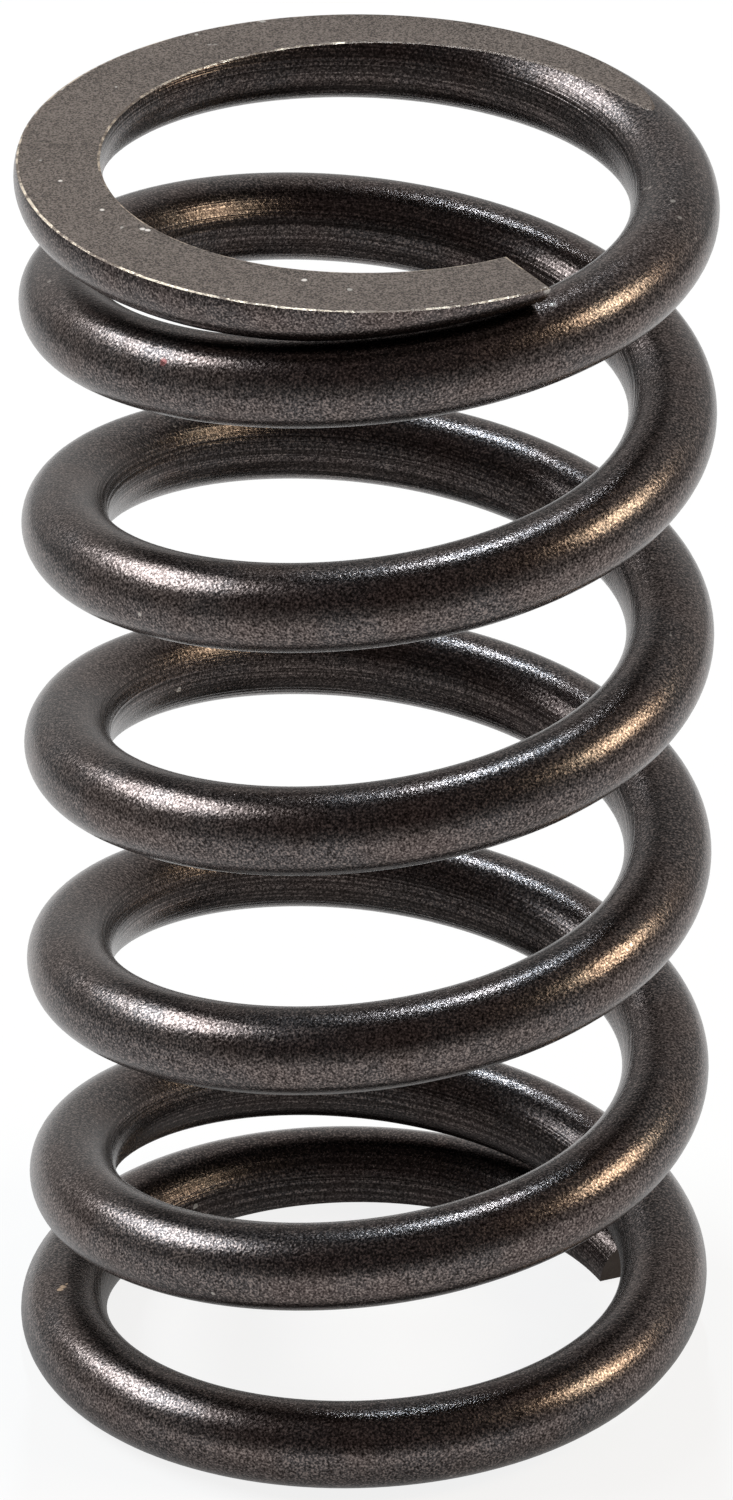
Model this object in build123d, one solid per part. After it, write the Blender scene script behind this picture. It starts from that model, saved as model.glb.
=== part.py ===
from build123d import *
import math
import os

# An engine valve spring: one round wire, wound right-handed into an open coil.
# The coil closes up at both ends, and both ends are ground flat to seat.
# Lengths are millimetres, and angles are degrees. Z is the coil's axis.
# The origin is the middle of the bottom seat, on the ground face.

# Wire and coil
wire_diameter = 4.0
coil_outer_diameter = 31.3
free_length = 60.3
total_turns = 6.772
tip_clearance = 0.1

# Bottom end, in turns along the wire from its tip
bottom_tip_angle = 23.2
bottom_tip_thickness = 2.0
bottom_closed_turns = 0.62
bottom_opening_turns = 0.61
bottom_lean_turns = 0.034
bottom_swell = 0.48
bottom_swell_turns = 0.56

# Top end, in turns along the wire from its tip
top_tip_thickness = 1.35
top_closed_turns = 0.57
top_opening_turns = 0.76
top_lean_turns = 0.085
top_swell = 0.19
top_swell_turns = 0.455

# Both ends: the wider end coil runs down to the working diameter over this much wire
swell_fade_turns = 0.44

# Both ends: the coil behind the tip leans back on its neighbour, and then stands off it
lean_full_turns = 0.14
lean_end_turns = 0.50

# Both ends: the tip itself is drawn in towards the axis
tip_tuck = 0.36
tip_tuck_turns = 0.40

# Points for each turn that the wire's centre line is drawn through
points_per_turn = 24

# How far down from outward the swept wire's own seam starts, at the bottom tip
seam_angle = 45

coil_radius = (coil_outer_diameter - wire_diameter) / 2
wire_radius = wire_diameter / 2
closed_rise = wire_diameter + tip_clearance


# Share of a change that is done at x, from 0 to 1, level at both ends.
def ease(x):
    x = min(max(x, 0.0), 1.0)
    return x * x * (3 - 2 * x)


# Area under ease from 0 to x.
def ease_area(x):
    opening = min(max(x, 0.0), 1.0)
    return opening ** 3 - opening ** 4 / 2 + max(x - 1.0, 0.0)


# Share of the full lean that the coil has, by turns from its tip.
def lean_share(turns):
    fade_turns = lean_end_turns - lean_full_turns
    return ease(turns / lean_full_turns) * (1 - ease((turns - lean_full_turns) / fade_turns))


# Turns of working pitch that an end takes away, up to a place along the wire.
# The first turn from the tip takes exactly one, so its coils all but touch.
def lost_turns(turns, closed_turns, opening_turns, lean_turns):
    def lost(place):
        return place - opening_turns * ease_area((place - closed_turns) / opening_turns)

    return lost(turns) / lost(1.0) - lean_turns * lean_share(turns)


def bottom_lost(turns):
    return lost_turns(turns, bottom_closed_turns, bottom_opening_turns, bottom_lean_turns)


def top_lost(turns):
    return lost_turns(turns, top_closed_turns, top_opening_turns, top_lean_turns)


# Pitch of the working coils, which is what the free length leaves for them.
def working_pitch():
    rise = free_length + wire_diameter - bottom_tip_thickness - top_tip_thickness
    lost = bottom_lost(total_turns) + top_lost(total_turns)
    return (rise - closed_rise * lost) / (total_turns - lost)


# Height of the wire's centre line.
def wire_height(turns, pitch):
    from_top = total_turns - turns
    lost = bottom_lost(turns) + top_lost(total_turns) - top_lost(from_top)
    start = bottom_tip_thickness - wire_radius
    return start + pitch * turns - (pitch - closed_rise) * lost


# How far an end coil stands outside the working ones, by turns from its tip.
def end_swell(turns, swell, swell_turns):
    wider = swell * (1 - ease((turns - swell_turns) / swell_fade_turns))
    tucked = tip_tuck * (1 - ease(turns / tip_tuck_turns))
    return wider - tucked


# Distance of the wire's centre line from the axis.
def wire_distance(turns):
    bottom = end_swell(turns, bottom_swell, bottom_swell_turns)
    top = end_swell(total_turns - turns, top_swell, top_swell_turns)
    return coil_radius + bottom + top


def wire_centre_line():
    pitch = working_pitch()
    spans = round(total_turns * points_per_turn)
    points = []
    for index in range(spans + 1):
        turns = total_turns * index / spans
        angle = math.radians(bottom_tip_angle + 360 * turns)
        distance = wire_distance(turns)
        height = wire_height(turns, pitch)
        points.append((distance * math.cos(angle), distance * math.sin(angle), height))
    return Spline(points)


# The wire's round section at the bottom tip.
def wire_section(centre_line):
    along = centre_line % 0
    tip_angle = math.radians(bottom_tip_angle)
    outward = Vector(math.cos(tip_angle), math.sin(tip_angle), 0)
    seam = outward.rotate(Axis((0, 0, 0), along), seam_angle)
    return Plane(origin=centre_line @ 0, x_dir=seam, z_dir=along) * Circle(wire_radius)


def coiled_wire():
    centre_line = wire_centre_line()
    return sweep(wire_section(centre_line), path=centre_line)


# Both ends are ground square to the axis, at the free length apart.
def ground_ends(wire):
    stone_width = 2 * coil_outer_diameter
    stone_depth = 2 * wire_diameter
    stone = Box(stone_width, stone_width, stone_depth)
    below = Pos(0, 0, -stone_depth / 2) * stone
    above = Pos(0, 0, free_length + stone_depth / 2) * stone
    return wire - below - above


def valve_spring():
    return ground_ends(coiled_wire())


def main():
    os.makedirs("parts", exist_ok=True)
    spring = valve_spring()
    export_step(spring, "parts/valve_spring.step")
    print("working pitch", round(working_pitch(), 3), "mm")
    print("volume", round(spring.volume, 1), "mm3")


main()
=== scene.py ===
# Engine valve spring: a coil of dark bronze spring wire with ground ends, on a plain pale floor.
import bmesh
import bpy
from math import atan2, cos, pi, radians, sin
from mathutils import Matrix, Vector, noise


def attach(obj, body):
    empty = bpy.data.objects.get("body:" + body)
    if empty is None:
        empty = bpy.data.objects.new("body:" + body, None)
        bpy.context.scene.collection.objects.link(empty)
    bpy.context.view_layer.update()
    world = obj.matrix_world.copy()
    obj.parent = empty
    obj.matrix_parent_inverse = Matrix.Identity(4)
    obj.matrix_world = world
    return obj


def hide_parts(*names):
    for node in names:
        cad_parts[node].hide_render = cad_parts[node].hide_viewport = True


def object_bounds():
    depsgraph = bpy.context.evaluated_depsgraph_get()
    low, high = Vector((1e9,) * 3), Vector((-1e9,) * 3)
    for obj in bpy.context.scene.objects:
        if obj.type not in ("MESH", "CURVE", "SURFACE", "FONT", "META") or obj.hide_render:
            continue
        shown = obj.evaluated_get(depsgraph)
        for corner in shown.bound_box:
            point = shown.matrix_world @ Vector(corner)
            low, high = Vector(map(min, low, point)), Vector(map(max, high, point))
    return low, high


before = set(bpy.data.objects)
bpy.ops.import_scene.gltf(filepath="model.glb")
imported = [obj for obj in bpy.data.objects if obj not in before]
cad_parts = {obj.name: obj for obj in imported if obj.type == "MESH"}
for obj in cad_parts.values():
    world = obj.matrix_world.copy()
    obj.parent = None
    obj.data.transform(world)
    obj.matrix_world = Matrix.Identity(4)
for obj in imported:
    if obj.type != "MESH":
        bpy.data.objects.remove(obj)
cadLow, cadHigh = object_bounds()

mm = 0.001
print("frame loaded, the spring stands", round((cadHigh[2] - cadLow[2]) / mm, 2), "mm high")

# The coil's own sizes, which repeat the ones it was designed to. Lengths are metres, angles degrees.
coil = {
    "wireDiameter": 4.0 * mm,
    "outerDiameter": 31.3 * mm,
    "freeLength": cadHigh[2] - cadLow[2],
    "totalTurns": 6.772,
    "tipClearance": 0.1 * mm,
    "bottomTipAngle": 23.2,
    "swellFadeTurns": 0.44,
    "leanFullTurns": 0.14,
    "leanEndTurns": 0.50,
    "tipTuck": 0.36 * mm,
    "tipTuckTurns": 0.40,
    "slopeTurns": 0.002,  # turns to each side that the wire's slope is taken over
    "stepsPerTurn": 144,
    "facesAround": 48,
    "mergeWithin": 0.001 * mm,
    "skin": 0.009 * mm,  # how far the drawn surface stays inside the designed one
    "sharpFrom": 30.0,  # degrees between two faces, above which their edge is drawn sharp
}
bottomEnd = {
    "tipThickness": 2.0 * mm,
    "closedTurns": 0.62,
    "openingTurns": 0.61,
    "leanTurns": 0.034,
    "swell": 0.48 * mm,
    "swellTurns": 0.56,
}
topEnd = {
    "tipThickness": 1.35 * mm,
    "closedTurns": 0.57,
    "openingTurns": 0.76,
    "leanTurns": 0.085,
    "swell": 0.19 * mm,
    "swellTurns": 0.455,
}

# What each face of the coil is, which is also its material's place in the list.
kinds = {"wire": 0, "ground": 1, "bare": 2, "sheared": 3}


def ease(x):  # share of a change that is done at x, from 0 to 1, level at both ends
    x = min(max(x, 0.0), 1.0)
    return x * x * (3 - 2 * x)


def easeArea(x):  # area under ease from 0 to x
    part = min(max(x, 0.0), 1.0)
    return part ** 3 - part ** 4 / 2 + max(x - 1.0, 0.0)


def leanShare(turns):  # share of the full lean that the coil has, by turns from its tip
    full, end = coil["leanFullTurns"], coil["leanEndTurns"]
    return ease(turns / full) * (1 - ease((turns - full) / (end - full)))


def lostTurns(turns, end):  # turns of working pitch that an end takes away by a place along the wire
    def lost(place):
        return place - end["openingTurns"] * easeArea((place - end["closedTurns"]) / end["openingTurns"])
    return lost(turns) / lost(1.0) - end["leanTurns"] * leanShare(turns)


def wireHeight(turns):
    total = coil["totalTurns"]
    closedRise = coil["wireDiameter"] + coil["tipClearance"]
    rise = coil["freeLength"] + coil["wireDiameter"] - bottomEnd["tipThickness"] - topEnd["tipThickness"]
    lostAll = lostTurns(total, bottomEnd) + lostTurns(total, topEnd)
    pitch = (rise - closedRise * lostAll) / (total - lostAll)
    lost = lostTurns(turns, bottomEnd) + lostTurns(total, topEnd) - lostTurns(total - turns, topEnd)
    start = bottomEnd["tipThickness"] - coil["wireDiameter"] / 2
    return start + pitch * turns - (pitch - closedRise) * lost


def endSwell(turns, end):  # how far an end coil stands outside the working ones, by turns from its tip
    wider = end["swell"] * (1 - ease((turns - end["swellTurns"]) / coil["swellFadeTurns"]))
    return wider - coil["tipTuck"] * (1 - ease(turns / coil["tipTuckTurns"]))


def wireDistance(turns):  # from the axis to the wire's middle
    middle = (coil["outerDiameter"] - coil["wireDiameter"]) / 2
    return middle + endSwell(turns, bottomEnd) + endSwell(coil["totalTurns"] - turns, topEnd)


def wireRow(turns):  # the wire's middle there, and the outward and upward directions across it
    near = coil["slopeTurns"]
    climb = wireHeight(turns + near) - wireHeight(turns - near)
    slope = atan2(climb, 2 * near * 2 * pi * wireDistance(turns))
    angle = radians(coil["bottomTipAngle"]) + 2 * pi * turns
    outward = Vector((cos(angle), sin(angle), 0))
    upward = Vector((sin(slope) * sin(angle), -sin(slope) * cos(angle), cos(slope)))
    return outward * wireDistance(turns) + Vector((0, 0, wireHeight(turns))), outward, upward


def openEdges(bm):
    return [edge for edge in bm.edges if edge.is_boundary]


def windWire(bm):
    # A flat grid as long as the wire is rolled up into a tube, and wound round the axis as it goes.
    steps = round(coil["totalTurns"] * coil["stepsPerTurn"])
    rows = [wireRow(coil["totalTurns"] * step / steps) for step in range(steps + 1)]
    radius = coil["wireDiameter"] / 2 - coil["skin"]
    wireMap = bm.loops.layers.uv.new("wireMap")
    half = 0.5  # of the grid's side, which is 1 both ways, with its middle at the origin
    bmesh.ops.create_grid(bm, x_segments=steps, y_segments=coil["facesAround"], size=half)
    for face in bm.faces:
        for loop in face.loops:
            along, around = loop.vert.co.x + half, loop.vert.co.y + half
            loop[wireMap].uv = (along * coil["totalTurns"], around)
    for vert in bm.verts:
        middle, outward, upward = rows[round((vert.co.x + half) * steps)]
        angle = 2 * pi * (vert.co.y + half)
        vert.co = middle + (outward * cos(angle) + upward * sin(angle)) * radius
    bmesh.ops.remove_doubles(bm, verts=bm.verts, dist=coil["mergeWithin"])
    ends = bmesh.ops.holes_fill(bm, edges=openEdges(bm), sides=0)
    for face in ends["faces"]:
        face.material_index = kinds["sheared"]
    bmesh.ops.recalc_face_normals(bm, faces=bm.faces)


# The stone leaves a fine edge where the flat meets the round wire. It is broken a little, and worn bright.
brokenEdge = {
    "width": 0.11 * mm,
    "depth": 0.040 * mm,
    "unevenness": 0.055 * mm,
    "bumpsPerMetre": 2600.0,
    "bumpsSeed": 5,  # without one, the bumps would differ from run to run
    "brightFrom": 32.0,  # degrees between the flat and the wire's side, below which no bright edge shows
    "cutWithin": 0.0001 * mm,
}


def grindEnds(bm):
    # Each end is cut at the foot of its broken edge, and the flat is then raised from there.
    noise.seed_set(brokenEdge["bumpsSeed"])
    for height, outward in ((0.0, -1), (coil["freeLength"], 1)):
        foot = height - outward * brokenEdge["depth"]
        everything = list(bm.verts) + list(bm.edges) + list(bm.faces)
        bmesh.ops.bisect_plane(bm, geom=everything, dist=brokenEdge["cutWithin"], plane_co=(0, 0, foot),
                               plane_no=(0, 0, outward), clear_outer=True)
        flat = bmesh.ops.contextual_create(bm, geom=openEdges(bm))["faces"]
        for face in flat:
            face.material_index = kinds["ground"]
            if face.normal.z * outward < 0:
                face.normal_flip()
        band = bmesh.ops.inset_region(bm, faces=flat, thickness=brokenEdge["width"],
                                      depth=brokenEdge["depth"], use_even_offset=True)["faces"]
        worked = set(flat) | set(band)
        for face in band:
            rims = [edge for edge in face.edges if not worked.issuperset(edge.link_faces)]
            turned = max((rim.calc_face_angle(0) for rim in rims), default=0)
            steep = turned > radians(brokenEdge["brightFrom"])
            face.material_index = kinds["bare"] if steep else kinds["ground"]
        for vert in {v for face in flat for v in face.verts}:
            sway = noise.noise_vector(vert.co * brokenEdge["bumpsPerMetre"])
            vert.co += Vector((sway.x, sway.y, 0)) * brokenEdge["unevenness"]
    print("wire wound and ground", len(bm.faces), "faces, open edges", len(openEdges(bm)))


class Value:
    # A shader socket that plain maths signs work on.
    def __init__(self, recipe, socket):
        self.recipe, self.socket = recipe, socket

    def __add__(self, other):
        return self.recipe.maths("ADD", self, other)

    def __radd__(self, other):
        return self.recipe.maths("ADD", other, self)

    def __sub__(self, other):
        return self.recipe.maths("SUBTRACT", self, other)

    def __rsub__(self, other):
        return self.recipe.maths("SUBTRACT", other, self)

    def __mul__(self, other):
        return self.recipe.maths("MULTIPLY", self, other)

    def __rmul__(self, other):
        return self.recipe.maths("MULTIPLY", other, self)


class Made:
    # A node that has been made, whose outputs are read by name or number.
    def __init__(self, recipe, node):
        self.recipe, self.made = recipe, node

    def out(self, name=0):
        return Value(self.recipe, self.made.outputs[name])


noiseMiddle = 0.5  # the value that a noise swings about
markCore = 0.6  # share of its reach over which a mark is full


class Recipe:
    # The nodes of one material, or of the world.
    def __init__(self, owner):
        owner.use_nodes = True
        self.owner = owner
        self.tree = owner.node_tree
        self.tree.nodes.clear()

    def node(self, kind, settings=None, sockets=None):
        node = self.tree.nodes.new(kind)
        for key, setting in (settings or {}).items():
            setattr(node, key, setting)
        for key, value in (sockets or {}).items():
            if isinstance(value, Value):
                self.tree.links.new(value.socket, node.inputs[key])
            else:
                node.inputs[key].default_value = value
        return Made(self, node)

    def maths(self, operation, first, second):
        return self.node("ShaderNodeMath", {"operation": operation}, {0: first, 1: second}).out()

    def vectors(self, operation, first, second):
        return self.node("ShaderNodeVectorMath", {"operation": operation}, {0: first, 1: second})

    def apart(self, first, second):  # distance between two places
        return self.vectors("DISTANCE", first, second).out("Value")

    def coordinates(self, kind="Object"):
        return self.node("ShaderNodeTexCoord").out(kind)

    def between(self, value, low, high, toLow=0.0, toHigh=1.0):
        settings = {"clamp": True, "interpolation_type": "SMOOTHSTEP"}
        sockets = {"Value": value, "From Min": low, "From Max": high, "To Min": toLow, "To Max": toHigh}
        return self.node("ShaderNodeMapRange", settings, sockets).out()

    def mix(self, share, first, second):
        return self.node("ShaderNodeMix", {"data_type": "RGBA"}, {0: share, 6: first, 7: second}).out(2)

    def noise(self, where, scale, detail=2.0, rough=0.5, twist=0.0):
        sockets = {"Vector": where, "Scale": scale, "Detail": detail, "Roughness": rough, "Distortion": twist}
        return self.node("ShaderNodeTexNoise", {}, sockets).out()

    def cells(self, where, scale):  # distance from the middle of the nearest of many small cells
        return self.node("ShaderNodeTexVoronoi", {}, {"Vector": where, "Scale": scale}).out("Distance")

    def nicks(self, where, ragged, places):  # 1 inside each of some small marks, whose edges are ragged
        inside = 0.0
        for x, y, z, reach in places:
            fromMiddle = self.apart(where, (x * mm, y * mm, z * mm)) + (ragged - noiseMiddle) * (reach * mm)
            inside = inside + self.between(fromMiddle, reach * mm * markCore, reach * mm, 1.0, 0.0)
        return inside

    def bump(self, height, distance, under=None):
        sockets = {"Height": height, "Distance": distance, "Strength": 1.0}
        if under is not None:
            sockets["Normal"] = under
        return self.node("ShaderNodeBump", {}, sockets).out()

    def metal(self, colour, roughness, normal):
        sockets = {"Base Color": colour, "Metallic": 1.0, "Roughness": roughness, "Normal": normal}
        shader = self.node("ShaderNodeBsdfPrincipled", {}, sockets)
        self.node("ShaderNodeOutputMaterial", {}, {"Surface": shader.out()})
        return self.owner


# Marks that the spring has taken, each by its middle and its reach in millimetres.
# The rest of its nicks are strewn at random.
marks = {
    "copper": [
        (-14.25, -2.09, 3.51, 0.17),
        (-14.12, -1.87, 3.54, 0.20),
        (-13.96, -1.60, 3.60, 0.15),
    ],
    "pale": [
        (-10.14, -11.91, 43.64, 0.13),
        (-14.19, -2.92, 55.66, 0.12),
        (12.27, -1.15, 59.37, 0.12),
        (12.47, -1.36, 59.53, 0.12),
        (13.48, -3.16, 59.74, 0.15),
        (13.77, -4.37, 59.50, 0.13),
    ],
    "rust": [
        (-9.00, -12.33, 56.29, 0.22),
    ],
    "ground": [
        (-11.75, -5.26, 60.3, 0.13),
        (-2.81, -12.34, 60.3, 0.16),
        (-9.95, -7.20, 60.3, 0.15),
        (-9.72, -7.32, 60.3, 0.15),
        (-13.66, -2.29, 60.3, 0.12),
    ],
    "topTip": [
        (7.82, -13.18, 60.22, 0.24),
        (7.81, -13.02, 59.90, 0.20),
        (8.07, -11.77, 58.83, 0.16),
    ],
}

wireFinish = {
    "bronze": (0.098, 0.078, 0.073, 1),
    "slate": (0.078, 0.072, 0.073, 1),
    "patchScale": 260.0,  # scales are for each metre
    "patchRange": (0.36, 0.64),
    # painted shade in the peened pits and painted glint on their crests, over the steel's own speckled tone
    "pitShade": (0.020, 0.016, 0.0145, 1),
    "pitShadeRange": (0.34, 0.50),
    "crestGlint": (0.265, 0.221, 0.205, 1),
    "crestGlintRange": (0.50, 0.66),
    "grainScale": 9500.0,
    "dimpleScale": 6400.0,  # shot-peened dimples, so 0.16 mm each
    "dimpleDepth": 0.007 * mm,
    "dimpleShare": 0.9,
    "grainShare": 0.7,
    "nick": (0.42, 0.39, 0.36, 1),
    "nickScale": 1500.0,
    "nickRange": (0.80, 0.82),
    "copper": (0.75, 0.56, 0.40, 1),
    "rust": (0.14, 0.058, 0.056, 1),
    "roughness": 0.26,
    "grainRoughness": 0.13,
    "patchRoughness": 0.10,
    "drawnStretch": (2.0, 105.0, 0.0),  # how fine the lines are for each turn along the wire, and round it
    "drawnRange": (0.42, 0.58),
    # how dark the grooves of the lines are painted, as painted shade
    "drawnShade": 0.72,
    "drawnDepth": 0.030 * mm,
    "insideFrom": (0.30, 0.42),  # shares of the way round the wire between which its inside lies
    "insideTo": (0.62, 0.74),
}


def makeWireFinish():
    r = Recipe(bpy.data.materials.new("peenedWire"))
    where = r.coordinates()
    dimples = r.cells(where, wireFinish["dimpleScale"])
    grain = r.noise(where, wireFinish["grainScale"], rough=0.6)
    patches = r.noise(where, wireFinish["patchScale"], detail=3.0)

    # Lines left by the drawing die show on the inside of the wire, where the shot hardly reaches.
    onWire = r.node("ShaderNodeUVMap", {"uv_map": "wireMap"}).out()
    drawn = r.noise(r.vectors("MULTIPLY", onWire, wireFinish["drawnStretch"]).out(), 1.0, rough=0.6)
    around = r.node("ShaderNodeSeparateXYZ", {}, {0: onWire}).out("Y")
    inside = r.between(around, *wireFinish["insideFrom"])
    inside = inside * r.between(around, *wireFinish["insideTo"], 1.0, 0.0)
    lines = inside * r.between(drawn, *wireFinish["drawnRange"], wireFinish["drawnShade"], 0.0)

    # A few small nicks show pale steel.
    nicks = r.between(r.noise(where, wireFinish["nickScale"], detail=1.0), *wireFinish["nickRange"])
    colour = r.mix(r.between(patches, *wireFinish["patchRange"]), wireFinish["bronze"], wireFinish["slate"])
    # The fine grain is partly the steel's own speckled tone and partly painted: darker in the pits as painted
    # shade, lighter on the crests as painted glint.
    colour = r.mix(r.between(grain, *wireFinish["pitShadeRange"], 1.0, 0.0), colour, wireFinish["pitShade"])
    colour = r.mix(r.between(grain, *wireFinish["crestGlintRange"]), colour, wireFinish["crestGlint"])
    # The die lines are real grooves in the bump; their darkness is painted shade in the grooves, in the
    # colour of the pits' painted shade.
    colour = r.mix(lines, colour, wireFinish["pitShade"])
    colour = r.mix(nicks, colour, wireFinish["nick"])
    colour = r.mix(r.nicks(where, grain, marks["pale"] + marks["topTip"]), colour, wireFinish["nick"])
    colour = r.mix(r.nicks(where, grain, marks["copper"]), colour, wireFinish["copper"])
    colour = r.mix(r.nicks(where, grain, marks["rust"]), colour, wireFinish["rust"])

    rough = wireFinish["roughness"] + (grain - noiseMiddle) * wireFinish["grainRoughness"]
    rough = rough + (patches - noiseMiddle) * wireFinish["patchRoughness"]
    peening = dimples * wireFinish["dimpleShare"] + grain * wireFinish["grainShare"]
    normal = r.bump(peening, wireFinish["dimpleDepth"])
    normal = r.bump(drawn * inside, wireFinish["drawnDepth"], normal)
    return r.metal(colour, rough, normal)


groundFinish = {
    "dark": (0.064, 0.051, 0.044, 1),
    "pale": (0.285, 0.234, 0.203, 1),
    "paleRange": (0.37, 0.62),
    "patchScale": 300.0,
    "patchShare": 0.08,
    "grainScale": 11500.0,
    "grainDepth": 0.012 * mm,
    "nick": (0.50, 0.46, 0.42, 1),
    "nickScale": 1400.0,
    "nickRange": (0.765, 0.785),
    "mark": (0.85, 0.78, 0.72, 1),
    "roughness": 0.50,
    "grainRoughness": 0.2,
}


def makeGroundFinish():
    r = Recipe(bpy.data.materials.new("groundFlat"))
    where = r.coordinates()
    grain = r.noise(where, groundFinish["grainScale"], rough=0.7)
    patches = r.noise(where, groundFinish["patchScale"])
    nicks = r.between(r.noise(where, groundFinish["nickScale"], detail=1.0), *groundFinish["nickRange"])
    pale = r.between(grain + (patches - noiseMiddle) * groundFinish["patchShare"], *groundFinish["paleRange"])
    colour = r.mix(pale, groundFinish["dark"], groundFinish["pale"])
    colour = r.mix(nicks, colour, groundFinish["nick"])
    colour = r.mix(r.nicks(where, grain, marks["ground"] + marks["topTip"]), colour, groundFinish["mark"])
    rough = groundFinish["roughness"] + (grain - noiseMiddle) * groundFinish["grainRoughness"]
    return r.metal(colour, rough, r.bump(grain, groundFinish["grainDepth"]))


bareEdge = {
    "steel": (0.78, 0.66, 0.53, 1),
    "dulled": (0.22, 0.175, 0.145, 1),
    "steelRange": (0.42, 0.60),
    "roughness": 0.40,
    "wearScale": 2600.0,
    "dentScale": 5200.0,
    "dentDepth": 0.05 * mm,
    "stretchScale": 420.0,  # stretches of the edge that are worn more, and others less
    "stretchShare": 0.9,
}


def makeBareEdge():
    r = Recipe(bpy.data.materials.new("bareEdge"))
    where = r.coordinates()
    stretches = r.noise(where, bareEdge["stretchScale"], detail=1.0)
    worn = r.noise(where, bareEdge["wearScale"], detail=3.0, rough=0.7)
    worn = worn + (stretches - noiseMiddle) * bareEdge["stretchShare"]
    colour = r.mix(r.between(worn, *bareEdge["steelRange"]), bareEdge["dulled"], bareEdge["steel"])
    normal = r.bump(r.noise(where, bareEdge["dentScale"], rough=0.7), bareEdge["dentDepth"])
    return r.metal(colour, bareEdge["roughness"], normal)


shearedEnd = {
    # the torn face painted dark in its hollows and lit on its bumps: painted shade and painted light
    "dark": (0.060, 0.048, 0.042, 1),
    "lit": (0.13, 0.108, 0.095, 1),
    "mark": (0.85, 0.78, 0.72, 1),
    "roughness": 0.48,
    "tornScale": 1700.0,
    "tornDepth": 0.12 * mm,
}


def makeShearedEnd():
    r = Recipe(bpy.data.materials.new("shearedEnd"))
    where = r.coordinates()
    torn = r.noise(where, shearedEnd["tornScale"], detail=4.0, rough=0.65, twist=0.6)
    # Lighter on the torn bumps and darker in their hollows, following the bump: painted light and shade.
    colour = r.mix(torn, shearedEnd["dark"], shearedEnd["lit"])
    colour = r.mix(r.nicks(where, torn, marks["topTip"]), colour, shearedEnd["mark"])
    return r.metal(colour, shearedEnd["roughness"], r.bump(torn, shearedEnd["tornDepth"]))


def placed(name, data):
    item = bpy.data.objects.new(name, data)
    bpy.context.collection.objects.link(item)
    return item


def makeMesh(name, bm):
    mesh = bpy.data.meshes.new(name)
    bm.to_mesh(mesh)
    bm.free()
    return mesh


def makeSpring():
    bm = bmesh.new()
    windWire(bm)
    grindEnds(bm)
    bmesh.ops.triangulate(bm, faces=[face for face in bm.faces if len(face.verts) > 4])
    for face in bm.faces:
        face.smooth = face.material_index == kinds["wire"]
    for edge in bm.edges:
        if len(edge.link_faces) == 2 and edge.calc_face_angle(0) > radians(coil["sharpFrom"]):
            edge.smooth = False
    mesh = makeMesh("springCoil", bm)
    for material in (makeWireFinish(), makeGroundFinish(), makeBareEdge(), makeShearedEnd()):
        mesh.materials.append(material)
    spring = placed("springCoil", mesh)
    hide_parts("valve_spring")
    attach(spring, "root")
    print("spring made", len(mesh.polygons), "polygons")


studio = {
    "floorSize": 6.0,
    "floorColour": (0.86, 0.86, 0.86, 1),
    "white": (1, 1, 1, 1),
    "whiteShare": 0.85,
    "farFloor": (0.38, 0.38, 0.38, 1),  # what the wire mirrors of the floor further off
    "brightSpot": (0.03, 0.05, 0.0),  # just behind the spring, and the floor is dimmer further from it
    "brightRange": (0.12, 0.36),
    "footShade": 0.40,  # what is left of the mirrored floor in the shade under the spring
    "shadeRange": (0.013, 0.025),
}
room = {
    "ceiling": (0.135, 0.112, 0.108, 1),
    "frontWall": (0.33, 0.325, 0.32, 1),
    "backWall": (0.49, 0.48, 0.47, 1),
    "backRange": (-0.85, 0.25),  # where the front wall turns into the back one, from -1 in front to 1 behind
    "glowHeight": 0.45,  # how far up the walls glow in front, where straight up is 1
    "backLift": 0.62,  # and how much further up behind
}


def makeFloor():
    bm = bmesh.new()
    bmesh.ops.create_grid(bm, x_segments=1, y_segments=1, size=studio["floorSize"] / 2)
    mesh = makeMesh("floor", bm)
    r = Recipe(bpy.data.materials.new("paleFloor"))
    path = r.node("ShaderNodeLightPath")
    mirrored = path.out("Is Glossy Ray")
    seen = path.out("Is Camera Ray") + mirrored + path.out("Is Transmission Ray")
    where = r.coordinates()
    away = mirrored * r.between(r.apart(where, studio["brightSpot"]), *studio["brightRange"])
    lit = r.between(r.apart(where, (0, 0, 0)), *studio["shadeRange"], studio["footShade"], 1.0)
    matteColour = r.mix(away, studio["floorColour"], studio["farFloor"])
    whiteColour = r.mix(away, studio["white"], studio["farFloor"])
    matte = r.node("ShaderNodeBsdfDiffuse", {}, {"Color": matteColour})
    white = r.node("ShaderNodeEmission", {}, {"Color": whiteColour, "Strength": 1 - mirrored * (1 - lit)})
    share = seen * studio["whiteShare"]
    both = r.node("ShaderNodeMixShader", {}, {0: share, 1: matte.out(), 2: white.out()})
    r.node("ShaderNodeOutputMaterial", {}, {"Surface": both.out()})
    mesh.materials.append(r.owner)
    placed("floor", mesh)


def stand(item, azimuth, elevation, distance):  # puts it there, turned towards the spring's middle
    turn, climb = radians(azimuth), radians(elevation)
    direction = Vector((cos(turn) * cos(climb), sin(turn) * cos(climb), sin(climb)))
    item.location = Vector((0, 0, coil["freeLength"] / 2)) + direction * distance
    item.rotation_euler = direction.to_track_quat("Z", "Y").to_euler()


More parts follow.
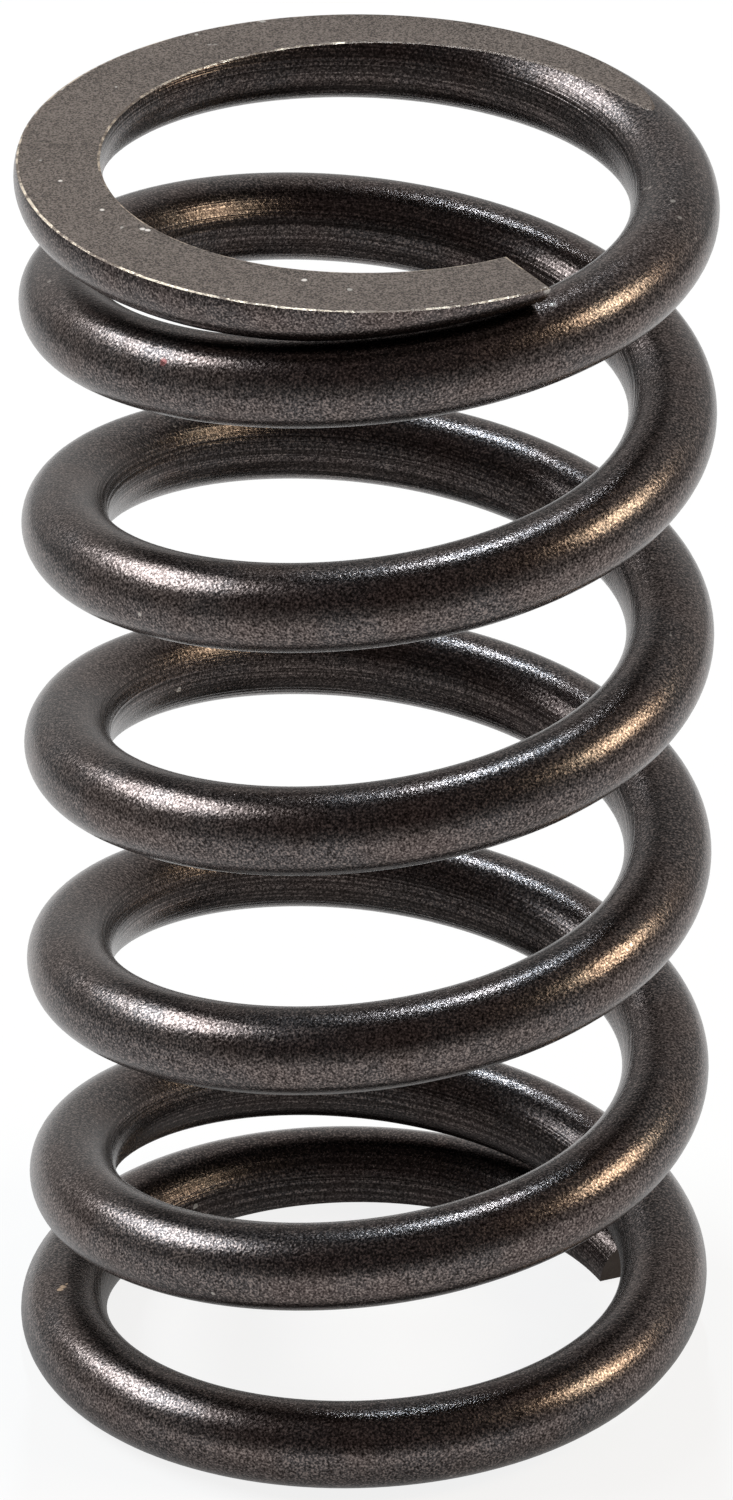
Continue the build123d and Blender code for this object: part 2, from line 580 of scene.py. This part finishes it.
# Soft lamps, by where each stands as seen from the spring.
lampDistance = 0.9
lamps = {
    "leftSoftbox": {
        "azimuth": 162, "elevation": 44, "size": (0.60, 0.33), "colour": (0.90, 0.96, 1.0), "level": 7.0,
    },
    "backStrip": {
        "azimuth": 91, "elevation": 66, "size": (0.03, 0.15), "colour": (0.76, 0.90, 1.0), "level": 1.9,
    },
    "rightSoftbox": {
        "azimuth": -3, "elevation": 33, "size": (0.32, 0.30), "colour": (1.0, 0.83, 0.58), "level": 3.8,
    },
    "backPanel": {
        "azimuth": 85, "elevation": 12, "size": (2.6, 0.50), "colour": (1.0, 0.99, 0.98), "level": 0.45,
    },
}


def makeLamps():
    for name, lamp in lamps.items():
        data = bpy.data.lights.new(name, "AREA")
        data.shape = "RECTANGLE"
        data.size, data.size_y = lamp["size"]
        data.color = lamp["colour"]
        data.energy = lamp["level"]
        stand(placed(name, data), lamp["azimuth"], lamp["elevation"], lampDistance)


def makeWorld():
    # A dim room whose walls glow near the horizon, more so behind the spring. The camera sees plain white.
    world = bpy.data.worlds.new("studio")
    bpy.context.scene.world = world
    r = Recipe(world)
    ways = r.node("ShaderNodeSeparateXYZ", {}, {0: r.coordinates("Generated")})
    behind = r.between(ways.out("Y"), *room["backRange"])
    above = ways.out("Z") - behind * room["backLift"]
    wall = r.mix(behind, room["frontWall"], room["backWall"])
    colour = r.mix(r.between(above, 0.0, room["glowHeight"], 1.0, 0.0), room["ceiling"], wall)
    cameraRay = r.node("ShaderNodeLightPath").out("Is Camera Ray")
    back = r.node("ShaderNodeBackground", {}, {"Color": r.mix(cameraRay, colour, studio["white"])})
    r.node("ShaderNodeOutputWorld", {}, {"Surface": back.out()})


# The photograph's view, as fitted to its outline, in an image of 733 by 1500 pixels.
view = {
    "imageHeight": 1500,
    "azimuth": -90.0,
    "elevation": 27.851,
    "distance": 0.64238,
    "focalPixels": 14131.1,
    "aside": 2.01,  # pixels that the picture's middle stands right of the spring's
    "down": 8.20,  # and below it
    "sensor": 36.0,
    "nearest": 0.01,
}


def makeCamera():
    data = bpy.data.cameras.new("camera")
    data.sensor_width = view["sensor"]
    data.lens = view["focalPixels"] * view["sensor"] / view["imageHeight"]
    data.shift_x = -view["aside"] / view["imageHeight"]
    data.shift_y = view["down"] / view["imageHeight"]
    data.clip_start = view["nearest"]
    camera = placed("camera", data)
    stand(camera, view["azimuth"], view["elevation"], view["distance"])
    bpy.context.scene.camera = camera


makeSpring()
makeFloor()
makeLamps()
makeWorld()
makeCamera()
bpy.context.scene.view_settings.view_transform = "Standard"
print("floor, lamps, room and camera set")
